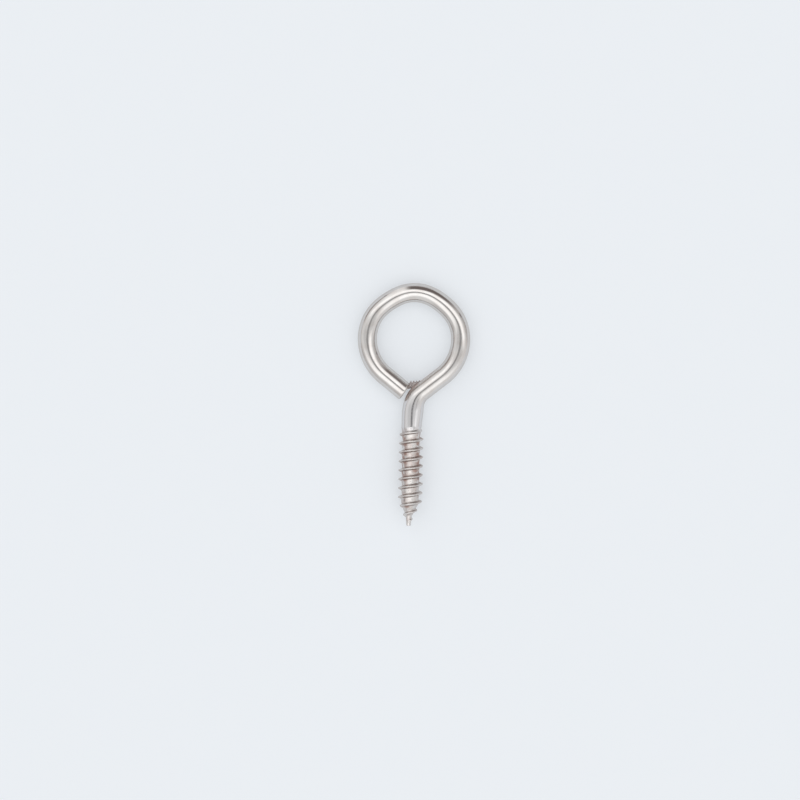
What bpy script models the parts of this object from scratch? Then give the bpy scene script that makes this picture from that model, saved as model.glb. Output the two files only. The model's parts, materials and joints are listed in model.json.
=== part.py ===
"""Screw eye: a closed eye bent from one length of round steel wire, which runs on through a neck bend
into a straight shank with a rolled wood-screw thread and a blunt nib. The part lies flat: the wire's
centreline is in a plane parallel to XY, the nib points to -Y and the part rests on its thread crests
at z = 0. The origin is the middle of its bounding box, at the bottom. Lengths are in metres, and
depths are distances below the eye's centre."""

import math

import bmesh
import bpy
from mathutils import Vector

MM = 0.001

# Driving dimensions of the wire and its bends.
OVERALL_LENGTH = 50.8 * MM
WIRE_RADIUS = 2.0 * MM
EYE_RADIUS = 9.75 * MM  # to the wire's centreline
ARM_SLOPE = math.radians(38.5)  # of both arms of the eye, below the horizontal
LOOSE_ARM_LENGTH = 5.7 * MM  # from the eye's arc to the cut end
CUT_CHAMFER = 0.25 * MM
NECK_RADIUS = 5.2 * MM  # to the wire's centreline
SHANK_OFFSET = -0.2 * MM  # of the shank's axis from the eye's centre, along X
NECK_WIDENING = 0.13  # the wire is this share wider than round where the neck bend ends
SHANK_WIDENING = 0.05  # and this share where the thread starts

# Driving dimensions of the thread.
THREAD_START = 18.4 * MM
RUN_IN_END = 20.6 * MM  # where the ridge reaches its full height above the root
FIRST_CREST = 19.05 * MM  # where the ridge first crosses the shank's +X side
THREAD_END = 38.4 * MM
THREAD_PITCH = 1.87 * MM
CREST_RADIUS = 2.6 * MM
CREST_TAPER_START = 33.8 * MM
ROOT_RADIUS = 1.8 * MM
ROOT_TAPER_START = 35.3 * MM
RIDGE = ((-0.23, 0.0), (-0.05, 1.0), (0.05, 1.0), (0.23, 0.0), (0.5, 0.0))  # (pitches, height)

# Driving dimensions of the nib.
NIB_START = 37.1 * MM
NIB_START_RADIUS = 0.62 * MM
NIB_TIP_RADIUS = 0.46 * MM
NIB_ROUNDING = 0.12 * MM
NIB_OFFSET = -0.23 * MM  # of the nib's axis from the shank's, along X

# Mesh fineness.
SIDES = 24
ARC_STEP = math.radians(6.0)
WELD = 0.02 * MM

EYE_TOP = EYE_RADIUS + WIRE_RADIUS
NIB_END = OVERALL_LENGTH - EYE_TOP
NECK_TURN = math.pi / 2 - ARM_SLOPE
DOWN = -math.pi / 2
NICKEL = (0.72, 0.69, 0.65, 1.0)


def clear_scene():
    for obj in list(bpy.data.objects):
        bpy.data.objects.remove(obj)


def nickel_plate():
    material = bpy.data.materials.new("nickel_plate")
    material.use_nodes = True
    shader = material.node_tree.nodes["Principled BSDF"]
    shader.inputs["Base Color"].default_value = NICKEL
    shader.inputs["Metallic"].default_value = 1.0
    shader.inputs["Roughness"].default_value = 0.22
    material.diffuse_color = NICKEL
    return material


def share(value, start, end):
    """How far a value is on its way from start to end, from 0 to 1."""
    return min(max((value - start) / (end - start), 0.0), 1.0)


def mix(first, second, part):
    return first + (second - first) * part


def along(heading):
    return Vector((math.cos(heading), math.sin(heading), 0.0))


def leftward(heading):
    return Vector((-math.sin(heading), math.cos(heading), 0.0))


def go_straight(path, length):
    """Adds one station, straight on from the last."""
    point, heading, widening = path[-1]
    path.append((point + length * along(heading), heading, widening))


def go_round(path, radius, angle, last_widening=0.0):
    """Adds the stations of an arc. A positive angle turns left."""
    point, heading, widening = path[-1]
    reach = math.copysign(radius, angle)
    centre = point + reach * leftward(heading)
    steps = math.ceil(abs(angle) / ARC_STEP)
    for step in range(1, steps + 1):
        turned = heading + angle * step / steps
        now = mix(widening, last_widening, step / steps)
        path.append((centre - reach * leftward(turned), turned, now))


def fixed_arm_length():
    """The straight stretch from the eye's arc to the neck bend, which ends on the shank's axis."""
    to_axis = (EYE_RADIUS * math.sin(ARM_SLOPE) - SHANK_OFFSET) / math.cos(ARM_SLOPE)
    return to_axis - NECK_RADIUS * math.tan(NECK_TURN / 2)


def wire_path():
    """The wire's (point, heading, widening) stations, from its cut end to the thread. The eye's
    centre is the zero point."""
    heading = math.pi - ARM_SLOPE
    arc_start = -EYE_RADIUS * Vector((math.sin(ARM_SLOPE), math.cos(ARM_SLOPE), 0.0))
    path = [(arc_start - LOOSE_ARM_LENGTH * along(heading), heading, 0.0)]
    go_straight(path, CUT_CHAMFER)
    go_straight(path, LOOSE_ARM_LENGTH - CUT_CHAMFER)
    go_round(path, EYE_RADIUS, -2 * heading)
    go_straight(path, fixed_arm_length())
    go_round(path, NECK_RADIUS, NECK_TURN, NECK_WIDENING)
    path.append((shank_axis(THREAD_START), DOWN, SHANK_WIDENING))
    return path


def shank_axis(depth):
    """The middle of the shank, the thread or the nib at this depth."""
    aside = NIB_OFFSET * share(depth, CREST_TAPER_START, NIB_START)
    return Vector((SHANK_OFFSET + aside, -depth, 0.0))


def section_point(station, angle, radius):
    """A point of the wire's surface, at this angle round it from its left side over +Z."""
    point, heading, widening = station
    across = radius * (1 + widening) * math.cos(angle)
    up = radius * math.sin(angle)
    return point + across * leftward(heading) + Vector((0.0, 0.0, up))


def add_ring(bm, station, radius):
    """A ring of vertices square to the wire."""
    angles = [2 * math.pi * side / SIDES for side in range(SIDES)]
    return [bm.verts.new(section_point(station, angle, radius)) for angle in angles]


def join(bm, first, second):
    """Quads between two rows of vertices of the same length."""
    for side in range(len(first) - 1):
        bm.faces.new((first[side], first[side + 1], second[side + 1], second[side]))


def join_rings(bm, rings):
    for first, second in zip(rings, rings[1:]):
        join(bm, first + first[:1], second + second[:1])


def add_wire(bm):
    """The wire from its cut end to where the thread starts."""
    path = wire_path()
    rings = [add_ring(bm, path[0], WIRE_RADIUS - CUT_CHAMFER)]
    rings += [add_ring(bm, station, WIRE_RADIUS) for station in path[1:]]
    bm.faces.new(reversed(rings[0]))
    join_rings(bm, rings)


def root_radius(depth):
    """The radius between the ridges: the plain shank's, the thread's root, its cone, then the nib."""
    if depth > NIB_START:
        return mix(NIB_START_RADIUS, NIB_TIP_RADIUS, share(depth, NIB_START, NIB_END))
    root = mix(WIRE_RADIUS, ROOT_RADIUS, share(depth, THREAD_START, RUN_IN_END))
    return mix(root, NIB_START_RADIUS, share(depth, ROOT_TAPER_START, NIB_START))


def crest_radius(depth):
    """The radius over the ridge, which rises from the plain shank and runs out on the nib."""
    crest = mix(WIRE_RADIUS, CREST_RADIUS, share(depth, THREAD_START, RUN_IN_END))
    return mix(crest, root_radius(THREAD_END), share(depth, CREST_TAPER_START, THREAD_END))


def thread_vertex(bm, row, side):
    """A vertex of the thread's skin. The rows run with the helix, which is right-handed. What a row
    has beyond either end of the thread is drawn in to the ring of vertices there."""
    turn, place = divmod(row, len(RIDGE))
    pitches, height = RIDGE[place]
    depth = FIRST_CREST + (turn - 2 + pitches + side / SIDES) * THREAD_PITCH
    depth = min(max(depth, THREAD_START), THREAD_END)
    radius = mix(root_radius(depth), crest_radius(depth), height)
    widening = SHANK_WIDENING * (1 - share(depth, THREAD_START, RUN_IN_END))
    station = (shank_axis(depth), DOWN, widening)
    return bm.verts.new(section_point(station, 2 * math.pi * side / SIDES, radius))


def add_thread(bm):
    """The thread's skin. Each row ends one turn on, in the first vertex of a later row."""
    turns = math.ceil((THREAD_END - THREAD_START) / THREAD_PITCH) + 4
    per_turn = len(RIDGE)
    rows = [[thread_vertex(bm, row, side) for side in range(SIDES)] for row in range(turns * per_turn)]
    whole = [row + [later[0]] for row, later in zip(rows, rows[per_turn:])]
    for first, second in zip(whole, whole[1:]):
        join(bm, first, second)


def add_nib(bm):
    """The nib from the end of the thread to its blunt tip."""
    sizes = (
        (THREAD_END, root_radius(THREAD_END)),
        (NIB_END - NIB_ROUNDING, NIB_TIP_RADIUS),
        (NIB_END, NIB_TIP_RADIUS - NIB_ROUNDING),
    )
    stations = [(shank_axis(depth), DOWN, 0.0) for depth, _ in sizes]
    rings = [add_ring(bm, station, radius) for station, (_, radius) in zip(stations, sizes)]
    join_rings(bm, rings)
    bm.faces.new(rings[-1])


def make_screw_eye():
    bm = bmesh.new()
    add_wire(bm)
    add_thread(bm)
    add_nib(bm)
    bmesh.ops.remove_doubles(bm, verts=bm.verts, dist=WELD)
    mesh = bpy.data.meshes.new("screw_eye")
    bm.to_mesh(mesh)
    bm.free()
    mesh.shade_smooth()
    mesh.set_sharp_from_angle(angle=math.radians(35))
    mesh.materials.append(nickel_plate())
    obj = bpy.data.objects.new("screw_eye", mesh)
    obj.location = (0.0, OVERALL_LENGTH / 2 - EYE_TOP, CREST_RADIUS)
    bpy.context.scene.collection.objects.link(obj)


clear_scene()
make_screw_eye()
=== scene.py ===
"""The looks of the screw eye: a fine skin of drawn, bent and thread-rolled wire with nickel plate on it,
lying on a pale board in soft studio light. Lengths are in millimetres until a mesh or a camera takes
them, and the eye's centre is the zero point of every shape, as in the CAD model."""

import json
import math

import bpy
import numpy as np
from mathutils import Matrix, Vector, noise


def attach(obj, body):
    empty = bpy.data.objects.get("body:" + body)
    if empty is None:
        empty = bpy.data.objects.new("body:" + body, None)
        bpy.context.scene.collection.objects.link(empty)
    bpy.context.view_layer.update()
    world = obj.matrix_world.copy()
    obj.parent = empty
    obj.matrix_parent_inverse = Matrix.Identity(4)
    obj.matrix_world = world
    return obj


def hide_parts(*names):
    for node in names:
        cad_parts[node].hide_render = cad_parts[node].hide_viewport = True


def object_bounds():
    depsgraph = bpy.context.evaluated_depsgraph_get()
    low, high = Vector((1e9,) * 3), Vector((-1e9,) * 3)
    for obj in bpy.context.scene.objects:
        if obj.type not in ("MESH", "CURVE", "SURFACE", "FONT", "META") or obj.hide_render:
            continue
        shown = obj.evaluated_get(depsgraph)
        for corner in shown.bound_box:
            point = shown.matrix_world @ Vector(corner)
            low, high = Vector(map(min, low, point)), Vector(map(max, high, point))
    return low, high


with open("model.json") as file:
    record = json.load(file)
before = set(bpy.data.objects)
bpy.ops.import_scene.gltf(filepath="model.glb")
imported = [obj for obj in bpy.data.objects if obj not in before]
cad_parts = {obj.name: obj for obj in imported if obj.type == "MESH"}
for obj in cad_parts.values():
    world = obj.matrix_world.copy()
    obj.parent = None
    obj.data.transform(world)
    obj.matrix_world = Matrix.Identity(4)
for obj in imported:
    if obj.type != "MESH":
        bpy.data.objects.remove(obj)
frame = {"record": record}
cad_low, cad_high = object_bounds()

MM = 0.001
NODE = "screw_eye"

# The wire and its bends, as in the CAD model.
WIRE_RADIUS = 2.0
EYE_RADIUS = 9.75  # to the wire's centreline
ARM_SLOPE = math.radians(38.5)  # of both arms of the eye, below the horizontal
LOOSE_ARM_LENGTH = 5.6  # to the middle of the cut, 0.1 less than in the CAD model
NECK_RADIUS = 5.2  # to the wire's centreline
NECK_WIDENING = 0.13  # the wire is this share wider than round where the neck bend ends
SHANK_WIDENING = 0.05  # and this share where the thread starts
THREAD_MOUNT = frame["record"]["mounts"][0]
SHANK_X, THREAD_TOP_Y, PLANE_Z = [place / MM for place in THREAD_MOUNT["pos_m"]]
EYE_TOP = EYE_RADIUS + WIRE_RADIUS
CENTRE_Y = cad_high.y / MM - EYE_TOP
NIB_END = CENTRE_Y - cad_low.y / MM
NECK_TURN = math.pi / 2 - ARM_SLOPE
DOWN = -math.pi / 2

# The thread and the nib, as depths below the eye's centre and radii, as in the CAD model.
THREAD_START = CENTRE_Y - THREAD_TOP_Y
THREAD_END = THREAD_START + THREAD_MOUNT["dims"]["length_mm"]
CREST_RADIUS = THREAD_MOUNT["dims"]["r_mm"]
RUN_IN_END = 20.6  # where the ridge reaches its full height above the root
FIRST_CREST = 19.05  # where the ridge first crosses the shank's +X side
THREAD_PITCH = 1.87
CREST_TAPER_START = 33.8
ROOT_RADIUS = 1.8
ROOT_TAPER_START = 34.3  # 1.0 above the CAD model's
NIB_START = 37.1
NIB_START_RADIUS = 0.62
NIB_TIP_RADIUS = 0.46
NIB_ROUNDING = 0.12
NIB_OFFSET = -0.23  # of the nib's axis from the shank's, along X

# What making the wire left on it, which the CAD model doesn't have.
CREST_HALF_WIDTH = 0.045  # in pitches
RIDGE_HALF_WIDTH = 0.235  # in pitches
FLANK_HOLLOW = 0.6  # how far a ridge's flanks are from straight to fully hollow
ROOT_SLANT = 0.055  # how far the root stands out below a ridge, and lies in above the next
EYE_FLATS = ((-34, 0.31), (38, 0.3))  # (degrees from the eye's top, how far pressed in)
FLAT_SPREAD = 2.7  # along the wire
NECK_BULGE = 0.12  # towards the inside of the bend
NECK_BULGE_SPREAD = 1.3
NECK_LEAN = 0.07  # what the bend's inner side has more, and its outer side less, of the wire's radius
NECK_LEAN_SPREAD = 1.8
RIM_ROUNDING = 0.4  # of the cut end
TORN_RIM = 0.1  # the cut face's tears fade out this far back from it
CUT_SKEW = math.tan(math.radians(5.5))

# Layers of unevenness: (height, size of its features, how they are drawn out, seed).
EVENLY = (1, 1, 1)
WAVES = (0.010, 1.6, (1, 1, 0.5), 1)
WAVES_SUNK = 0.006  # how far the middle of the waves lies below the wire's true radius
DRAWING_LINES = (0.0022, 0.45, (1, 1, 0.12), 2)
FINE_TEARS = (0.03, 0.35, (0.35, 1, 1), 3)
COARSE_TEARS = (0.05, 1.3, EVENLY, 4)
CREST_WEAR = (0.07, 1.1, EVENLY, 5)
FINE_ROLLING = (0.012, 0.42, EVENLY, 6)
COARSE_ROLLING = (0.024, 1.3, (1, 1, 0.6), 7)
NIB_DENTS = (0.025, 0.4, EVENLY, 8)
NIB_SUNK = 0.015  # how far the middle of the dents lies below the nib's true radius
NIB_DENTS_START = 0.2  # the dents reach their full depth this far below the thread's end
BURR_TEARS = [(0.09, 0.3, EVENLY, seed) for seed in (9, 10, 11)]

# The torn burr that shearing left in the corner between the cut end and the neck, as (x, y) points.
BURR_FOOT = ((-1.2, -10.45), (1.1, -10.1))
BURR_EDGE = ((-0.62, -9.1), (2.4, -8.85))
BURR_TOOTH = 0.34  # how far its teeth stand out
BURR_TEETH = 5
BURR_TEETH_TURN = 0.9  # where the first tooth is, in radians
BURR_POINTEDNESS = 3
BURR_HEIGHT = 0.42  # half its thickness, at its foot
BURR_THINNING = 0.7  # the share of it that the edge lacks
BURR_GAP_THINNING = 0.4  # and the share that the gaps between the teeth lack

# Mesh fineness.
SIDES = 96
STEP = 0.16
ANGLES = 2 * math.pi * np.arange(SIDES) / SIDES
THREAD_ROWS = np.concatenate([np.linspace(-0.26, 0.26, 17), np.linspace(0.32, 0.68, 7)])  # in pitches
SPARE_TURNS = 2  # beyond either end of the thread, so that its skin is whole there
CUT_FACE_RADII = 0.2 * np.arange(1, 6)
CUT_RIM_TURNS = np.linspace(0, math.pi / 2, 10)
NIB_SIDE_RINGS = 8
NIB_RIM_TURNS = np.linspace(0, math.pi / 2, 5)
NIB_FACE_RADII = (0.6, 0.3)  # as shares of the flat tip's
BURR_RINGS = 60
BURR_SIDES = 24
SEED_STEP = Vector((17.0, 5.0, 11.0))


def share(value, start, end):
    """How far a value is on its way from start to end, from 0 to 1."""
    return np.clip((value - start) / (end - start), 0.0, 1.0)


def ease(part):
    return part * part * (3 - 2 * part)


def mix(first, second, part):
    return first + (second - first) * part


def hump(value, middle, spread):
    return math.exp(-0.5 * ((value - middle) / spread) ** 2)


def uneven(places, layer):
    """Smooth noise at each of many points, from minus the layer's height to its height."""
    height, size, drawn_out, seed = layer
    offset = seed * SEED_STEP
    return height * np.array([noise.noise(Vector(place) / size + offset) for place in places * drawn_out])


def go_straight(path, length):
    """Adds stations (x, y, heading, distance along the wire), straight on from the last."""
    x, y, heading, distance = path[-1]
    for gone in np.linspace(0, length, math.ceil(length / STEP) + 1)[1:]:
        path.append((x + gone * math.cos(heading), y + gone * math.sin(heading), heading, distance + gone))


def go_round(path, radius, angle):
    """Adds the stations of an arc. A positive angle turns left."""
    x, y, heading, distance = path[-1]
    reach = math.copysign(radius, angle)
    for turn in np.linspace(0, angle, math.ceil(radius * abs(angle) / STEP) + 1)[1:]:
        now = heading + turn
        east = x + reach * (math.sin(now) - math.sin(heading))
        north = y + reach * (math.cos(heading) - math.cos(now))
        path.append((east, north, now, distance + radius * abs(turn)))


def fixed_arm_length():
    """The straight stretch from the eye's arc to the neck bend, which ends on the shank's axis."""
    to_axis = (EYE_RADIUS * math.sin(ARM_SLOPE) - SHANK_X) / math.cos(ARM_SLOPE)
    return to_axis - NECK_RADIUS * math.tan(NECK_TURN / 2)


EYE_ARC = 2 * (math.pi - ARM_SLOPE)
EYE_ARC_START = LOOSE_ARM_LENGTH
EYE_TOP_AT = EYE_ARC_START + EYE_RADIUS * EYE_ARC / 2
NECK_START = EYE_ARC_START + EYE_RADIUS * EYE_ARC + fixed_arm_length()
NECK_END = NECK_START + NECK_RADIUS * NECK_TURN


def wire_path():
    """The wire's stations from its cut end to the thread."""
    heading = math.pi - ARM_SLOPE
    x = -EYE_RADIUS * math.sin(ARM_SLOPE) - LOOSE_ARM_LENGTH * math.cos(heading)
    y = -EYE_RADIUS * math.cos(ARM_SLOPE) - LOOSE_ARM_LENGTH * math.sin(heading)
    path = [(x, y, heading, 0.0)]
    go_straight(path, LOOSE_ARM_LENGTH)
    go_round(path, EYE_RADIUS, -EYE_ARC)
    go_straight(path, fixed_arm_length())
    go_round(path, NECK_RADIUS, NECK_TURN)
    go_straight(path, THREAD_START + path[-1][1])
    return np.array(path)


WIRE_LENGTH = wire_path()[-1][3]  # where the thread starts


def down_shank(depth):
    """The distance along the wire at this depth, on the thread and the nib."""
    return WIRE_LENGTH + depth - THREAD_START


def round_eye(degrees):
    """The distance along the wire at this angle from the eye's top, clockwise."""
    return EYE_TOP_AT + EYE_RADIUS * math.radians(degrees)


# Marks: the height on the thread's ridge (all of it on a burr), the share of thread, the share of cut
# face, and the share of a ridge's flank, above 0 on the side towards the eye.
MARKS = ("ridge", "threaded", "cut_face", "flank")
WIRE_MARKS = (0.0, 0.0, 0.0, 0.0)
CUT_MARKS = (0.0, 0.0, 1.0, 0.0)
NIB_MARKS = (0.0, 0.4, 0.0, 0.0)
BURR_MARKS = (1.0, 0.0, 1.0, 0.0)
FLANK_FADE = 0.9  # the stretch above the nib where the flanks' mark fades


class Skin:
    """The surface that is being made: its points, and for each point its place on the wire as it was
    before it was bent, and its marks."""

    def __init__(self):
        self.points = []
        self.straight = []
        self.marks = []
        self.faces = []

    def add(self, points, straight, marks):
        """Adds a row of points and returns their numbers."""
        first = sum(len(row) for row in self.points)
        self.points.append(points)
        self.straight.append(straight)
        self.marks.append(np.broadcast_to(marks, (len(points), len(MARKS))))
        return np.arange(first, first + len(points))

    def join(self, first, second):
        """Faces between two rows of the same length. Points that the rows share leave triangles."""
        for corners in zip(first, first[1:], second[1:], second):
            kept = list(dict.fromkeys(int(corner) for corner in corners))
            if len(kept) > 2:
                self.faces.append(kept)

    def join_rings(self, first, second):
        self.join(np.append(first, first[0]), np.append(second, second[0]))

    def close(self, ring, centre, straight, marks, outward):
        """A fan over an open ring. The ring runs clockwise as seen from outside where outward is False."""
        tip = self.add(np.array([centre]), np.array([straight]), marks)[0]
        for one, other in zip(ring, np.roll(ring, -1)):
            corners = [int(tip), int(one), int(other)]
            self.faces.append(corners if outward else corners[::-1])


def unbent(radius, distance):
    """Where points of the skin were on the straight wire, which the plating's marks follow."""
    distance = np.broadcast_to(distance, ANGLES.shape)
    return np.stack([radius * np.cos(ANGLES), radius * np.sin(ANGLES), distance], axis=1)


def section(station, widening, radius, aside=0.0, ahead=0.0):
    """A ring of the wire's surface, from its left side over +Z."""
    x, y, heading, _ = station
    left = np.array([-math.sin(heading), math.cos(heading), 0.0])
    on = np.array([math.cos(heading), math.sin(heading), 0.0])
    across = radius * (1 + widening) * np.cos(ANGLES) + aside
    up = radius * np.sin(ANGLES)
    ahead = np.broadcast_to(ahead, ANGLES.shape)
    centre = np.array([x, y, 0.0])
    return centre + across[:, None] * left + up[:, None] * (0, 0, 1) + ahead[:, None] * on


def widening_at(distance):
    """How much wider than round the wire is: the neck was pinched as it was bent."""
    neck = NECK_WIDENING * share(distance, NECK_START, NECK_END)
    return mix(neck, SHANK_WIDENING, share(distance, NECK_END, WIRE_LENGTH))


def set_aside(distance):
    """How far the bending tools pushed the wire off its true arcs, to its left."""
    total = NECK_BULGE * hump(distance, NECK_END - NECK_BULGE_SPREAD, NECK_BULGE_SPREAD)
    for degrees, depth in EYE_FLATS:
        total -= depth * hump(distance, round_eye(degrees), FLAT_SPREAD)
    return total


def leaning(distance, radius):
    """What the neck's bend moved of its section towards the inside, on both of its sides."""
    return NECK_LEAN * hump(distance, NECK_END, NECK_LEAN_SPREAD) * radius * abs(np.cos(ANGLES))


def skewed(radius):
    """How far a section as askew as the cut is ahead of a square one."""
    return -CUT_SKEW * radius * np.cos(ANGLES)


def drawn_surface(straight):
    """Small unevenness of the drawn wire: long shallow waves, and finer ones along it."""
    return uneven(straight, WAVES) - WAVES_SUNK + uneven(straight, DRAWING_LINES)


def cut_outline():
    """The cut end's rings, as (radius, distance from the cut): its flat face, then its rounded rim."""
    inner = WIRE_RADIUS - RIM_ROUNDING
    face = [(radius, 0.0) for radius in CUT_FACE_RADII]
    rim = [
        (inner + RIM_ROUNDING * math.sin(turn), RIM_ROUNDING * (1 - math.cos(turn)))
        for turn in CUT_RIM_TURNS
    ]
    return face + rim


def add_cut_end(skin, station):
    """The sheared face of the loose arm and its rounded rim. Returns the last ring."""
    before = None
    for radius, back in cut_outline():
        on_face = 1 - ease(share(back, 0.0, TORN_RIM))
        straight = unbent(radius, back)
        tears = uneven(straight, FINE_TEARS) + uneven(straight, COARSE_TEARS)
        ahead = back + skewed(radius) + tears * on_face
        outer = radius + drawn_surface(straight) * (1 - on_face)
        ring = skin.add(section(station, 0.0, outer, ahead=ahead), straight, on_face * np.array(CUT_MARKS))
        if before is None:
            middle = (station[0], station[1], 0.0)
            skin.close(ring, middle, (0.0, 0.0, 0.0), CUT_MARKS, outward=False)
        else:
            skin.join_rings(before, ring)
        before = ring
    return before


def add_wire(skin):
    """The wire from its cut end to the thread. Returns the ring where the thread starts."""
    path = wire_path()
    before = add_cut_end(skin, path[0])
    for station in path[path[:, 3] > RIM_ROUNDING]:
        distance = station[3]
        straight = unbent(WIRE_RADIUS, distance)
        radius = WIRE_RADIUS + drawn_surface(straight)
        ahead = skewed(radius) * (1 - ease(share(distance, 0, LOOSE_ARM_LENGTH)))
        aside = set_aside(distance) + leaning(distance, radius)
        points = section(station, widening_at(distance), radius, aside, ahead)
        ring = skin.add(points, straight, WIRE_MARKS)
        skin.join_rings(before, ring)
        before = ring
    return before


def burr_slice(part):
    """The burr's section at this part of the way from the cut end to the neck."""
    turns = 2 * math.pi * np.arange(BURR_SIDES) / BURR_SIDES
    foot = mix(np.array(BURR_FOOT[0]), np.array(BURR_FOOT[1]), part)
    edge = mix(np.array(BURR_EDGE[0]), np.array(BURR_EDGE[1]), part)
    tooth = abs(math.sin(math.pi * BURR_TEETH * part + BURR_TEETH_TURN)) ** BURR_POINTEDNESS
    edge = edge + np.array((0.0, BURR_TOOTH * tooth))
    outward = (1 - np.cos(turns)) / 2
    flat = mix(foot, edge, outward[:, None])
    thinned = (1 - BURR_THINNING * outward) * (1 - BURR_GAP_THINNING * (1 - tooth))
    points = np.column_stack([flat, BURR_HEIGHT * np.sin(turns) * thinned])
    return points + np.column_stack([uneven(points, layer) for layer in BURR_TEARS])


def add_burr(skin):
    """The burr, as slices from the cut end to the neck, each from its foot to its toothed edge."""
    slices = [burr_slice(part) for part in np.linspace(0, 1, BURR_RINGS)]
    rings = [skin.add(points, points, BURR_MARKS) for points in slices]
    for first, second in zip(rings, rings[1:]):
        skin.join_rings(first, second)
    for end, outward in ((0, False), (-1, True)):
        middle = slices[end].mean(axis=0)
        skin.close(rings[end], middle, middle, BURR_MARKS, outward)


def root_radius(depth):
    """The radius between the ridges: the plain shank's, the thread's root, its cone, then the nib."""
    nib = mix(NIB_START_RADIUS, NIB_TIP_RADIUS, share(depth, NIB_START, NIB_END))
    root = mix(WIRE_RADIUS, ROOT_RADIUS, share(depth, THREAD_START, RUN_IN_END))
    cone = mix(root, NIB_START_RADIUS, share(depth, ROOT_TAPER_START, NIB_START))
    return np.where(depth > NIB_START, nib, cone)


def crest_radius(depth):
    """The radius over the ridge, which rises from the plain shank and runs out on the nib."""
    crest = mix(WIRE_RADIUS, CREST_RADIUS, share(depth, THREAD_START, RUN_IN_END))
    return mix(crest, root_radius(THREAD_END), share(depth, CREST_TAPER_START, THREAD_END))


def shank_axis(depth):
    """Where the middle of the shank, the thread or the nib is, along X."""
    return SHANK_X + NIB_OFFSET * share(depth, CREST_TAPER_START, NIB_START)


def root_slant(pitches):
    """What the root's slant adds to its radius, from one ridge to the next."""
    return ROOT_SLANT * np.interp(pitches, (-0.25, 0.25, 0.75), (-1, 1, -1))


def ridge_height(pitches):
    """The ridge's section: a narrow flat crest, hollow flanks, and a flat root."""
    down = share(abs(pitches), CREST_HALF_WIDTH, RIDGE_HALF_WIDTH)
    return 1 - mix(down, ease(down), FLANK_HOLLOW)


def worn_crest(along):
    """What is left of the ridge's height, which varies along the helix."""
    helix = np.stack([along * 2 * math.pi * WIRE_RADIUS, 0 * along, 0 * along], axis=1)
    return 1 - CREST_WEAR[0] - uneven(helix, CREST_WEAR)


def thread_row(skin, turn, place, start_ring, end_ring):
    """The row of points, one turn long, at this place on the ridge's section, in pitches from the
    crest. Points beyond either end of the thread are those of the ring there."""
    along = turn - SPARE_TURNS + np.arange(SIDES) / SIDES
    depth = FIRST_CREST + (along + place) * THREAD_PITCH
    height = ridge_height(place)
    threaded = share(depth, THREAD_START, RUN_IN_END)
    fade = threaded * (1 - share(depth, CREST_TAPER_START, THREAD_END))
    low = root_radius(depth) + root_slant(place) * fade
    straight = unbent(low, down_shank(depth))
    rolled = uneven(straight, FINE_ROLLING) + uneven(straight, COARSE_ROLLING)
    worn = mix(1.0, worn_crest(along), height)
    radius = mix(low, mix(low, crest_radius(depth), worn), height)
    radius = radius + rolled * fade + drawn_surface(straight) * (1 - fade)
    across = radius * (1 + SHANK_WIDENING * (1 - threaded)) * np.cos(ANGLES)
    points = np.stack([shank_axis(depth) + across, -depth, radius * np.sin(ANGLES)], axis=1)
    flank = -np.sign(place) * 4 * height * (1 - height) * threaded
    flank = flank * share(depth, NIB_START, NIB_START - FLANK_FADE)
    marks = np.stack([height * threaded, threaded, 0 * depth, flank], axis=1)
    inside = (depth > THREAD_START) & (depth < THREAD_END)
    row = np.where(depth <= THREAD_START, start_ring, end_ring)
    row[inside] = skin.add(points[inside], straight[inside], marks[inside])
    return row


def add_thread(skin, start_ring, end_ring):
    """The thread's skin. Its rows run with the helix, which is right-handed, and each ends one turn
    on, in the first point of a later row."""
    turns = math.ceil((THREAD_END - THREAD_START) / THREAD_PITCH) + 2 * SPARE_TURNS
    rows = [
        thread_row(skin, turn, place, start_ring, end_ring) for turn in range(turns) for place in THREAD_ROWS
    ]
    whole = [np.append(row, later[0]) for row, later in zip(rows, rows[len(THREAD_ROWS):])]
    for first, second in zip(whole, whole[1:]):
        skin.join(first, second)


def nib_outline():
    """The nib's rings, as (depth, radius): its side, its rounded rim, then its flat tip."""
    rim_start = NIB_END - NIB_ROUNDING
    flat = NIB_TIP_RADIUS - NIB_ROUNDING
    depths = np.linspace(THREAD_END, rim_start, NIB_SIDE_RINGS)[:-1]
    side = [(depth, float(root_radius(depth))) for depth in depths]
    rim = [
        (rim_start + NIB_ROUNDING * math.sin(turn), flat + NIB_ROUNDING * math.cos(turn))
        for turn in NIB_RIM_TURNS
    ]
    return side + rim + [(NIB_END, flat * part) for part in NIB_FACE_RADII]


def add_nib(skin):
    """The nib from the end of the thread to its blunt tip. Returns the ring at the thread's end."""
    rings = []
    for depth, radius in nib_outline():
        straight = unbent(radius, down_shank(depth))
        fade = share(depth, THREAD_END, THREAD_END + NIB_DENTS_START)
        fade = fade * share(radius, 0, NIB_TIP_RADIUS - NIB_ROUNDING)
        outer = radius + fade * (uneven(straight, NIB_DENTS) - NIB_SUNK)
        station = (shank_axis(depth), -depth, DOWN, 0.0)
        rings.append(skin.add(section(station, 0.0, outer), straight, NIB_MARKS))
    for first, second in zip(rings, rings[1:]):
        skin.join_rings(first, second)
    middle = (shank_axis(NIB_END), -NIB_END, 0.0)
    skin.close(rings[-1], middle, (0.0, 0.0, down_shank(NIB_END)), NIB_MARKS, outward=True)
    return rings[0]


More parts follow.
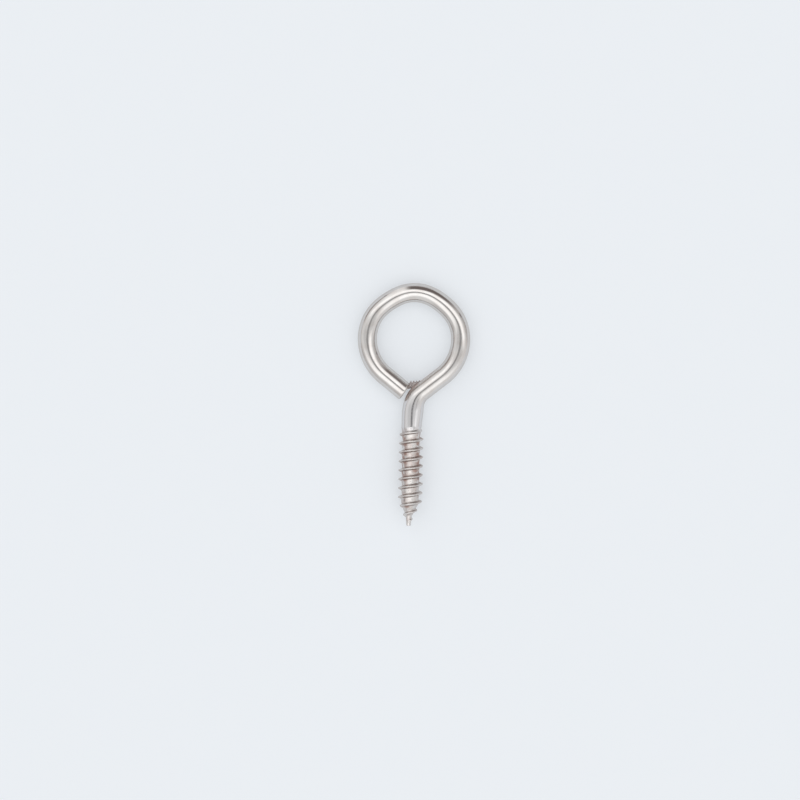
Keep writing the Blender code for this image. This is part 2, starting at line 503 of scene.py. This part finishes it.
def skin_mesh(skin):
    mesh = bpy.data.meshes.new("screw_eye_skin")
    points = np.concatenate(skin.points) * MM
    mesh.from_pydata(points.tolist(), [], skin.faces)
    straight = mesh.attributes.new("straight", "FLOAT_VECTOR", "POINT")
    straight.data.foreach_set("vector", np.concatenate(skin.straight).astype(np.float32).ravel())
    marks = np.concatenate(skin.marks)
    for place, name in enumerate(MARKS):
        attribute = mesh.attributes.new(name, "FLOAT", "POINT")
        attribute.data.foreach_set("value", marks[:, place].astype(np.float32))
    mesh.shade_smooth()
    return mesh


def make_screw_eye():
    skin = Skin()
    start_ring = add_wire(skin)
    end_ring = add_nib(skin)
    add_thread(skin, start_ring, end_ring)
    add_burr(skin)
    mesh = skin_mesh(skin)
    mesh.materials.append(nickel_plate())
    eye = bpy.data.objects.new("screw_eye_skin", mesh)
    eye.location = (0.0, CENTRE_Y * MM, PLANE_Z * MM)
    bpy.context.scene.collection.objects.link(eye)
    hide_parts(NODE)
    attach(eye, "root")


class Tree:
    """Short names for making shader nodes."""

    def __init__(self, nodes, links):
        self.nodes = nodes
        self.links = links

    def add(self, kind, inputs=(), **settings):
        node = self.nodes.new(kind)
        for name, value in settings.items():
            setattr(node, name, value)
        for name, value in dict(inputs).items():
            self.feed(node.inputs[name], value)
        return node

    def feed(self, socket, value):
        if isinstance(value, bpy.types.NodeSocket):
            self.links.new(value, socket)
        else:
            socket.default_value = value

    def attribute(self, name, output="Fac"):
        return self.add("ShaderNodeAttribute", attribute_name=name).outputs[output]

    def math(self, operation, *values):
        node = self.add("ShaderNodeMath", operation=operation)
        for socket, value in zip(node.inputs, values):
            self.feed(socket, value)
        return node.outputs[0]

    def chain(self, operation, first, *others):
        for other in others:
            first = self.math(operation, first, other)
        return first

    def sum(self, *values):
        return self.chain("ADD", *values)

    def product(self, *values):
        return self.chain("MULTIPLY", *values)

    def most(self, *values):
        return self.chain("MAXIMUM", *values)

    def ramp(self, value, start, end, low=0.0, high=1.0):
        """Eases from low to high as the value goes from start to end."""
        sizes = {"Value": value, "From Min": start, "From Max": end, "To Min": low, "To Max": high}
        node = self.add("ShaderNodeMapRange", sizes, interpolation_type="SMOOTHSTEP")
        return node.outputs["Result"]

    def stretch(self, vector, scale):
        node = self.add("ShaderNodeVectorMath", operation="MULTIPLY")
        self.feed(node.inputs[0], vector)
        self.feed(node.inputs[1], scale)
        return node.outputs["Vector"]

    def spot(self, place, middle, size):
        """1 in the middle of a soft-edged patch of this size either way, 0 outside it."""
        away = self.add("ShaderNodeVectorMath", operation="SUBTRACT")
        self.feed(away.inputs[0], place)
        self.feed(away.inputs[1], middle)
        scaled = self.stretch(away.outputs["Vector"], [1 / side for side in size])
        length = self.add("ShaderNodeVectorMath", operation="LENGTH")
        self.feed(length.inputs[0], scaled)
        return self.ramp(length.outputs["Value"], 1.0, 0.3)

    def noise(self, vector, scale, detail=2.0, roughness=0.5):
        sizes = {"Vector": vector, "Scale": scale, "Detail": detail, "Roughness": roughness}
        return self.add("ShaderNodeTexNoise", sizes).outputs["Fac"]

    def blend(self, factor, first, second):
        """A colour on its way from the first to the second."""
        node = self.add("ShaderNodeMix", data_type="RGBA")
        self.feed(node.inputs["Factor"], factor)
        self.feed(node.inputs["A"], first)
        self.feed(node.inputs["B"], second)
        return node.outputs[2]


def tree_of(owner):
    owner.use_nodes = True
    return Tree(owner.node_tree.nodes, owner.node_tree.links)


# The plating's colours, and how much of them shows where their marks are full.
NICKEL = (0.67, 0.652, 0.638, 1.0)
WARM_NICKEL = (0.63, 0.598, 0.578, 1.0)
COOL_NICKEL = (0.68, 0.67, 0.674, 1.0)
BROWN_STAIN = (0.35, 0.208, 0.168, 1.0)
# the flanks' colour: painted shade, with some stain
FLANK_SHADE_AND_STAIN = (0.28, 0.205, 0.205, 1.0)
# the dark of nicks and flaws, and of the painted dark lines that stand for the roof hole's reflection
DARK_STAIN_AND_REFLECTION = (0.15, 0.12, 0.135, 1.0)
COPPER = (0.58, 0.41, 0.355, 1.0)
RIM_TINT = (0.86, 0.83, 0.8, 1.0)  # of what is mirrored at a low angle
CUT_STEEL = (0.56, 0.54, 0.53, 1.0)
BURR_BROWN = (0.305, 0.27, 0.268, 1.0)
# the crevice's colour: painted shade, and the cut end's painted reflection
CREVICE_SHADE_BROWN = (0.48, 0.385, 0.345, 1.0)
STAINED = 0.8  # how far the colour goes from plain to BROWN_STAIN, and so on
COPPERED = 0.6
FLANK_DARKENED = 0.3
DARKENED = 0.65
REFLECTED_LINE_DARKENED = 0.68
CUT_COPPERED = 0.25
CREST_KEPT_CLEAN = 0.75  # the share of the stain that a crest lacks
BARE_METALLIC = 0.3  # of the cut end, where the plate is thin, and of the crevice, whose brown is painted shade

# The clean plate's roughness, which varies with its drawing lines, and what each mark adds to it.
SHEEN = (0.09, 0.14)
STAIN_DULLNESS = 0.25
BARE_DULLNESS = 0.35
THREAD_DULLNESS = 0.11
FLANK_DULLNESS = 0.15

# What each noise adds to the relief, and how deep the relief is.
LINES_RELIEF = 0.6
SCRATCHES_RELIEF = 0.25
THREAD_RELIEF = 1.2
CUT_RELIEF = 4.0
RELIEF_DEPTH = 0.004

# Noises of the plating: (how they are drawn out along the wire, scale, detail, roughness).
LINES = (0.05, 7.0, 4.0, 0.6)
SCRATCHES = (0.2, 22.0, 2.0, 0.5)
CLOUDS = (1.0, 0.45, 3.0, 0.5)
SPECKS = (1.0, 4.2, 4.0, 0.65)
PATCHES = (0.8, 0.9, 3.0, 0.6)

# Marks on the upper side: (X on the straight wire, place along it, width, length). X is above 0 on
# the outside of the eye, and on the +X side of the shank. The place is in degrees from the eye's top
# for the eye's nicks, and a depth below the eye's centre for the thread's marks.
EYE_NICKS = ((-1.41, -112, 0.16, 0.5), (1.3, -35, 0.12, 0.5), (1.2, 62, 0.16, 0.7))
THREAD_STAINS = (
    (-1.26, 22.0, 0.9, 0.8),
    (1.4, 21.8, 0.7, 0.7),
    (-1.2, 24.0, 0.7, 0.6),
    (1.4, 24.0, 0.7, 0.6),
    (1.6, 26.0, 0.7, 1.0),
    (-1.2, 25.8, 0.7, 0.6),
    (1.0, 27.5, 1.3, 0.5),
    (-1.13, 29.4, 0.9, 0.6),
    (-0.8, 35.0, 1.2, 0.6),
)
THREAD_FLAWS = (
    (1.5, 28.95, 0.35, 0.4),
    (-1.25, 33.7, 0.13, 0.5),
    (-0.38, 31.7, 0.12, 0.12),
    (1.15, 31.6, 0.12, 0.15),
    (-0.05, 29.7, 0.1, 0.1),
)
STAINS_FADE = (WIRE_LENGTH + 12.5, WIRE_LENGTH + 10.5)  # few stains beyond it, many before it
COOLNESS_END = (WIRE_LENGTH + 2.0, WIRE_LENGTH)  # of the shank's plating

# The painted dark lines on the neck and the shank, which stand for reflections of the tent's dark roof hole:
# (X on the straight wire, half width, soft edge's end, strength).
REFLECTED_LINE = (-0.05, 0.04, 0.14, 1.0)
FINE_REFLECTED_LINE = (0.55, 0.02, 0.09, 0.5)
REFLECTED_LINE_WOBBLE = 0.3
REFLECTED_LINE_START = (NECK_START, NECK_START + 2.0)
REFLECTED_LINE_END = (WIRE_LENGTH + 0.9, WIRE_LENGTH + 0.3)

# The side of the neck that faces the cut end, and of the arm that leads to it, as places on the wire. Brown
# is painted there as the crevice's shade and the cut end's reflection.
CREVICE_X = (-1.35, -1.85)
CREVICE_AT = NECK_START + 0.9
CREVICE_START = (CREVICE_AT - 2.2, CREVICE_AT - 1.0)
CREVICE_END = (CREVICE_AT + 2.4, CREVICE_AT + 1.6)
SHADED_ARM_START = (CREVICE_AT - 8.0, CREVICE_AT - 3.5)
SHADED_ARM_END = (CREVICE_AT + 2.0, CREVICE_AT + 1.0)
ARM_SHADED = 0.45


class Plate:
    """The sockets that the parts of the plating's shader share: a point's place on the straight wire,
    its marks, and noises of several sizes."""

    def __init__(self, tree):
        self.place = tree.attribute("straight", "Vector")
        axes = tree.add("ShaderNodeSeparateXYZ", {"Vector": self.place}).outputs
        self.x, self.up, self.distance = axes["X"], axes["Y"], axes["Z"]
        self.off_middle = tree.math("ABSOLUTE", self.x)
        self.ridge = tree.attribute("ridge")
        self.threaded = tree.attribute("threaded")
        self.flank = tree.attribute("flank")
        self.cut = tree.attribute("cut_face")
        self.lines = self.noise(tree, LINES)
        self.scratches = self.noise(tree, SCRATCHES)
        self.clouds = self.noise(tree, CLOUDS)
        self.specks = self.noise(tree, SPECKS)
        self.patches = self.noise(tree, PATCHES)

    def noise(self, tree, kind):
        drawn_out, scale, detail, roughness = kind
        return tree.noise(tree.stretch(self.place, (1.0, 1.0, drawn_out)), scale, detail, roughness)


def spots(tree, plate, marks, radius):
    """Where these marks are, on a wire of this radius. Their lengths run along the wire."""
    found = 0.0
    for x, distance, width, length in marks:
        middle = (x, math.sqrt(radius**2 - x**2), distance)
        found = tree.most(found, tree.spot(plate.place, middle, (width, 1.0, length)))
    return found


def thread_spots(tree, plate, marks):
    placed = [(x, down_shank(depth), width, length) for x, depth, width, length in marks]
    return spots(tree, plate, placed, ROOT_RADIUS)


def eye_spots(tree, plate, marks):
    placed = [(x, round_eye(degrees), width, length) for x, degrees, width, length in marks]
    return spots(tree, plate, placed, WIRE_RADIUS)


def stains(tree, plate):
    """Brown in the thread's root, the more so at its sides and in its upper half."""
    root = tree.math("SUBTRACT", 1.0, tree.product(plate.ridge, CREST_KEPT_CLEAN))
    sides = tree.ramp(plate.off_middle, 0.5, 1.5, 0.35, 1.0)
    upper_half = tree.ramp(plate.distance, *STAINS_FADE, 0.4, 1.0)
    patchy = tree.product(tree.ramp(plate.patches, 0.38, 0.56), tree.ramp(plate.specks, 0.25, 0.5))
    scattered = tree.product(patchy, root, plate.threaded, sides, upper_half)
    return tree.most(scattered, tree.product(thread_spots(tree, plate, THREAD_STAINS), root))


def copper_flecks(tree, plate):
    """Where the copper under the nickel shows on the thread."""
    return tree.product(
        tree.ramp(plate.specks, 0.5, 0.66), tree.ramp(plate.patches, 0.48, 0.68), plate.threaded
    )


def shaded_and_stained_flanks(tree, plate):
    """Painted shade, with some stain, on the flanks of the thread's ridges, the more so on the side towards
    the eye.
    """
    upper = tree.product(tree.ramp(plate.flank, 0.2, 0.8), tree.ramp(plate.patches, 0.3, 0.55, 0.4, 0.8))
    lower = tree.product(tree.ramp(plate.flank, -0.2, -0.8), tree.ramp(plate.patches, 0.35, 0.65, 0.1, 0.6))
    inward = tree.ramp(plate.off_middle, 1.8, 1.2, 0.3, 1.0)
    return tree.product(tree.sum(upper, lower), inward)


def reflected_line(tree, plate, wobble, line):
    """One painted dark line along the wire, a reflection of the roof's dark hole."""
    x, half, soft_end, strength = line
    away = tree.math("ABSOLUTE", tree.math("SUBTRACT", plate.x, tree.sum(wobble, x)))
    return tree.product(tree.ramp(away, soft_end, half), strength)


def reflected_lines(tree, plate):
    """Painted reflections of the roof's dark hole: dark lines along the top of the neck and the shank,
    broken here and there.
    """
    along = tree.stretch(plate.place, (0.0, 0.0, 1.0))
    wobble = tree.product(tree.math("SUBTRACT", tree.noise(along, 0.5), 0.5), REFLECTED_LINE_WOBBLE)
    broken = tree.ramp(tree.noise(along, 2.4, 1.0), 0.40, 0.49)
    wide = tree.product(reflected_line(tree, plate, wobble, REFLECTED_LINE), broken)
    fine = reflected_line(tree, plate, wobble, FINE_REFLECTED_LINE)
    ends = tree.product(tree.ramp(plate.distance, *REFLECTED_LINE_START), tree.ramp(plate.distance, *REFLECTED_LINE_END))
    return tree.product(tree.most(wide, fine), ends, tree.ramp(plate.up, 0.2, 0.8))


# Nicks and flaws, and the painted dark lines that reflect the roof's hole.
def dark_marks_and_reflections(tree, plate):
    return tree.most(
        tree.product(reflected_lines(tree, plate), REFLECTED_LINE_DARKENED),
        eye_spots(tree, plate, EYE_NICKS),
        thread_spots(tree, plate, THREAD_FLAWS),
    )


def shaded_crevice(tree, plate):
    """The side of the neck that faces the cut end, and a stretch of the arm before it: painted shade in the
    crevice and on the arm, and the cut end's painted reflection in the neck.
    """
    near = tree.product(tree.ramp(plate.distance, *CREVICE_START), tree.ramp(plate.distance, *CREVICE_END))
    arm = tree.product(
        tree.ramp(plate.distance, *SHADED_ARM_START, 0.0, ARM_SHADED),
        tree.ramp(plate.distance, *SHADED_ARM_END),
    )
    return tree.product(tree.ramp(plate.x, *CREVICE_X), tree.most(near, arm))


def plain_colour(tree, plate):
    """The clean plating, which is cooler along the shank."""
    neck = tree.ramp(plate.distance, NECK_START, NECK_END)
    shank = tree.product(neck, tree.ramp(plate.distance, *COOLNESS_END))
    clouded = tree.blend(tree.ramp(plate.clouds, 0.35, 0.7), NICKEL, WARM_NICKEL)
    return tree.blend(shank, clouded, COOL_NICKEL)


def bare_colour(tree, plate):
    """The cut end, and the burr, which counts as a ridge all over."""
    coppered = tree.product(tree.ramp(plate.specks, 0.4, 0.6), CUT_COPPERED)
    sheared = tree.blend(coppered, CUT_STEEL, COPPER)
    browned = tree.product(plate.ridge, tree.ramp(plate.specks, 0.62, 0.45, 0.1, 1.0))
    return tree.blend(browned, sheared, BURR_BROWN)


def plate_colour(tree, plate, stain, crevice_shade):
    colour = plain_colour(tree, plate)
    colour = tree.blend(tree.product(stain, STAINED), colour, BROWN_STAIN)
    colour = tree.blend(tree.product(copper_flecks(tree, plate), COPPERED), colour, COPPER)
    # painted shade, with some stain, on the ridges' flanks
    colour = tree.blend(tree.product(shaded_and_stained_flanks(tree, plate), FLANK_DARKENED), colour, FLANK_SHADE_AND_STAIN)
    # painted shade in the crevice, and the cut end's painted reflection in the neck
    colour = tree.blend(crevice_shade, colour, CREVICE_SHADE_BROWN)
    # dark nicks and flaws, and the painted dark lines that reflect the roof's hole
    colour = tree.blend(tree.product(dark_marks_and_reflections(tree, plate), DARKENED), colour, DARK_STAIN_AND_REFLECTION)
    return tree.blend(plate.cut, colour, bare_colour(tree, plate))


def plate_roughness(tree, plate, stain, bare_and_shaded):
    stained = tree.product(stain, STAIN_DULLNESS)
    uncovered = tree.product(bare_and_shaded, BARE_DULLNESS)
    rolled = tree.product(plate.threaded, THREAD_DULLNESS)
    flanks = tree.product(tree.math("ABSOLUTE", plate.flank), FLANK_DULLNESS)
    return tree.sum(tree.ramp(plate.lines, 0.3, 0.7, *SHEEN), stained, uncovered, rolled, flanks)


def plate_normal(tree, plate):
    lines = tree.product(plate.lines, LINES_RELIEF)
    scratches = tree.product(plate.scratches, SCRATCHES_RELIEF)
    rolled = tree.product(plate.specks, plate.threaded, THREAD_RELIEF)
    torn = tree.product(plate.specks, plate.cut, CUT_RELIEF)
    height = tree.sum(lines, scratches, rolled, torn)
    relief = {"Height": height, "Strength": 1.0, "Distance": RELIEF_DEPTH * MM}
    return tree.add("ShaderNodeBump", relief).outputs["Normal"]


def nickel_plate():
    """Nickel over copper on drawn wire: drawing lines and fine scratches along it, and brown and copper
    where the rolled thread and the cut end have thin plate. Brown painted shade and reflection lie in the
    crevice by the cut end, painted shade on the thread's flanks, and dark painted reflections of the roof's
    hole along the top of the neck and the shank."""
    material = bpy.data.materials.new("nickel_plate")
    tree = tree_of(material)
    shader = tree.nodes["Principled BSDF"]
    plate = Plate(tree)
    stain = stains(tree, plate)
    crevice_shade = shaded_crevice(tree, plate)
    bare_and_shaded = tree.most(plate.cut, crevice_shade)
    tree.feed(shader.inputs["Base Color"], plate_colour(tree, plate, stain, crevice_shade))
    tree.feed(shader.inputs["Metallic"], tree.ramp(bare_and_shaded, 0.0, 1.0, 1.0, BARE_METALLIC))
    tree.feed(shader.inputs["Roughness"], plate_roughness(tree, plate, stain, bare_and_shaded))
    tree.feed(shader.inputs["Normal"], plate_normal(tree, plate))
    shader.inputs["Specular Tint"].default_value = RIM_TINT
    return material


# The board that the part lies on. The thread's crests and the far side of the eye both rest on it.
FLOOR_SIZE = 3000.0
FLOOR_COLOUR = (0.44, 0.458, 0.478, 1.0)
FLOOR_COLOUR_2 = (0.432, 0.453, 0.475, 1.0)
FLOOR_GLOW = (0.384, 0.399, 0.415, 1.0)
FLOOR_GRAIN = 160.0  # features of its mottle in a metre
FLOOR_ROUGHNESS = 0.9
FLOOR_SPECULAR = 0.1
CREST_CONTACT_Y = CENTRE_Y - RUN_IN_END
EYE_CONTACT_Y = CENTRE_Y + EYE_RADIUS
FLOOR_TILT = math.atan((CREST_RADIUS - WIRE_RADIUS) / (EYE_CONTACT_Y - CREST_CONTACT_Y))


def make_floor():
    half = FLOOR_SIZE / 2 * MM
    mesh = bpy.data.meshes.new("board")
    corners = [(-half, -half, 0), (half, -half, 0), (half, half, 0), (-half, half, 0)]
    mesh.from_pydata(corners, [], [(0, 1, 2, 3)])
    mesh.materials.append(pale_board())
    board = bpy.data.objects.new("board", mesh)
    board.location = (0.0, CREST_CONTACT_Y * MM, 0.0)
    board.rotation_euler = (FLOOR_TILT, 0.0, 0.0)
    bpy.context.scene.collection.objects.link(board)


def pale_board():
    material = bpy.data.materials.new("pale_board")
    tree = tree_of(material)
    shader = tree.nodes["Principled BSDF"]
    place = tree.add("ShaderNodeTexCoord").outputs["Object"]
    mottle = tree.noise(place, FLOOR_GRAIN, 3.0)
    tree.feed(shader.inputs["Base Color"], tree.blend(mottle, FLOOR_COLOUR, FLOOR_COLOUR_2))
    shader.inputs["Roughness"].default_value = FLOOR_ROUGHNESS
    shader.inputs["Specular IOR Level"].default_value = FLOOR_SPECULAR
    shader.inputs["Emission Color"].default_value = FLOOR_GLOW
    shader.inputs["Emission Strength"].default_value = 1.0
    return material


# The light: the brightness that comes from each direction of a white tent over the board. Tilt is
# counted in degrees from straight up, and a bearing in degrees from +Y towards +X.
BACKDROP = (0.83, 0.86, 0.89, 1.0)
TENT_WHITE = (1.0, 1.0, 1.0, 1.0)
PANEL_BROWN = (0.205, 0.178, 0.172, 1.0)
SIDE_BROWN = (0.36, 0.315, 0.29, 1.0)
ROOF = 0.74  # the tent's brightness at its middle
WALLS = 0.9
ROOF_TO_WALLS = (35, 55)  # the tilts between which the one passes into the other
HOLE = 0.52  # the share of the light that the roof's hole keeps
HOLE_SIZE = (0.23, 0.1)  # half its width and depth, of the tent's radius
HOLE_Y = 0.04
BANK = 0.78  # what the brighter banks add
UPPER_BANK_TURN = 0.36  # how far it is turned from the Y axis, as a slope
LOWER_BANK_TURN = 0.17
STRIP = 0.2  # what the brighter strips add
DIM = -0.2  # what the dimmer sides lack
FOOT = 0.6  # how brown the feet of the walls are, where the dark side is fully so

# Stretches of the tent: (middle, half width, soft edge), as bearings.
OUTER_STRIP = (-24, 6, 10)
INNER_STRIP = (-60, 6, 14)
DIM_SIDES = ((-124, 16, 18), (70, 8, 16))
DARK_SIDE = (-50, 10, 18)
FEET = ((-92, 12, 18), (75, 12, 15))


class Sky:
    """The sockets for the direction that light comes from."""

    def __init__(self, tree):
        direction = tree.add("ShaderNodeTexCoord").outputs["Generated"]
        axes = tree.add("ShaderNodeSeparateXYZ", {"Vector": direction}).outputs
        self.x, self.y, self.z = axes["X"], axes["Y"], axes["Z"]
        self.tilt = tree.math("DEGREES", tree.math("ARCCOSINE", self.z))
        self.bearing = tree.math("DEGREES", tree.math("ARCTAN2", self.x, self.y))


def near_bearing(tree, sky, stretch):
    middle, half, soft = stretch
    away = tree.math("ABSOLUTE", tree.math("SUBTRACT", sky.bearing, middle))
    return tree.ramp(away, half + soft, half)


def banks(tree, sky):
    """Two banks of brighter light beside the middle of the roof, towards +Y and towards -Y."""
    level = tree.math("SQRT", tree.math("SUBTRACT", 1.0, tree.math("POWER", sky.z, 2.0)))
    ahead = tree.sum(sky.y, tree.product(sky.x, UPPER_BANK_TURN))
    behind = tree.product(tree.sum(sky.y, tree.product(sky.x, LOWER_BANK_TURN)), -1.0)
    facing = tree.ramp(tree.math("DIVIDE", behind, level), 0.0, 0.9)
    upper = tree.product(tree.ramp(ahead, 0.055, 0.265), tree.ramp(sky.tilt, 62, 30))
    lower = tree.product(tree.ramp(behind, 0.04, 0.28), facing, tree.ramp(behind, 0.87, 0.5))
    lower = tree.product(lower, tree.ramp(sky.tilt, 67, 39))
    return tree.product(tree.sum(upper, lower), BANK)


def strips(tree, sky):
    """Two narrow brighter stretches: one down the wall, and one from the roof's middle to the wall."""
    outer = tree.product(near_bearing(tree, sky, OUTER_STRIP), tree.ramp(sky.tilt, 42, 54))
    inner = tree.product(near_bearing(tree, sky, INNER_STRIP), tree.ramp(sky.tilt, 4, 14))
    return tree.product(tree.most(outer, tree.product(inner, tree.ramp(sky.tilt, 60, 46))), STRIP)


def dimmed(tree, sky):
    """What the two dimmer sides take from the walls."""
    sides = tree.most(*[near_bearing(tree, sky, stretch) for stretch in DIM_SIDES])
    return tree.product(sides, tree.ramp(sky.tilt, 50, 66), DIM)


def roof_hole(tree, sky):
    """The dimmer middle of the roof, where the camera looks in."""
    width, depth = HOLE_SIZE
    wide = tree.math("POWER", tree.math("DIVIDE", sky.x, width), 2.0)
    deep = tree.math("POWER", tree.math("DIVIDE", tree.math("SUBTRACT", sky.y, HOLE_Y), depth), 2.0)
    return tree.ramp(tree.sum(wide, deep), 0.4, 1.4, HOLE, 1.0)


def dark_side(tree, sky):
    """How brown the foot of the walls is: fully on one side, and partly at two other places."""
    side = tree.product(near_bearing(tree, sky, DARK_SIDE), tree.ramp(sky.tilt, 66, 84))
    feet = tree.most(*[near_bearing(tree, sky, stretch) for stretch in FEET])
    return tree.most(side, tree.product(feet, tree.ramp(sky.tilt, 72, 88), FOOT))


def dark_panel(tree, sky):
    """A dark panel on the wall from +Y towards +X. Its top slopes down to its end, which is soft."""
    end = tree.sum(tree.ramp(sky.bearing, 53, 35, 0.0, 0.6), tree.ramp(sky.bearing, 74, 48, 0.0, 0.4))
    sloped = tree.math("SUBTRACT", sky.tilt, tree.ramp(sky.bearing, 10, 45, 0.0, 11.0))
    upward = tree.product(tree.ramp(sloped, 26, 47), tree.ramp(sky.tilt, 99, 74))
    return tree.product(tree.ramp(sky.bearing, -15, -5), end, upward)


def layer(tree, factor, below, colour):
    """A background of this colour, over what is below by this factor."""
    over = tree.add("ShaderNodeBackground", {"Color": colour}).outputs[0]
    seen = tree.add("ShaderNodeMixShader")
    for socket, value in zip(seen.inputs, (factor, below, over)):
        tree.feed(socket, value)
    return seen.outputs[0]


def make_light():
    world = bpy.data.worlds.new("white_tent")
    bpy.context.scene.world = world
    tree = tree_of(world)
    sky = Sky(tree)
    walls = tree.ramp(sky.tilt, *ROOF_TO_WALLS, ROOF, WALLS)
    bright = tree.sum(walls, strips(tree, sky), dimmed(tree, sky), banks(tree, sky))
    bright = tree.product(bright, roof_hole(tree, sky))
    light = tree.add("ShaderNodeBackground", {"Color": TENT_WHITE, "Strength": bright}).outputs[0]
    light = layer(tree, dark_side(tree, sky), light, SIDE_BROWN)
    light = layer(tree, dark_panel(tree, sky), light, PANEL_BROWN)
    camera_ray = tree.add("ShaderNodeLightPath").outputs["Is Camera Ray"]
    light = layer(tree, camera_ray, light, BACKDROP)
    tree.feed(tree.nodes["World Output"].inputs["Surface"], light)


# The camera looks straight down on the plane of the wire.
CAMERA_HEIGHT = 464.7
CAMERA_LENS = 100.0
CAMERA_SENSOR = 36.0
CAMERA_TURN = math.radians(1.05)
CAMERA_FROM_CENTRE = (-2.692, -12.805)


def make_camera():
    data = bpy.data.cameras.new("camera")
    data.lens = CAMERA_LENS
    data.sensor_width = CAMERA_SENSOR
    camera = bpy.data.objects.new("camera", data)
    across, along = CAMERA_FROM_CENTRE
    camera.location = Vector((across, CENTRE_Y + along, PLANE_Z + CAMERA_HEIGHT)) * MM
    camera.rotation_euler = (0.0, 0.0, CAMERA_TURN)
    bpy.context.scene.collection.objects.link(camera)
    bpy.context.scene.camera = camera


bpy.context.scene.view_settings.view_transform = "Standard"
make_screw_eye()
make_floor()
make_light()
make_camera()
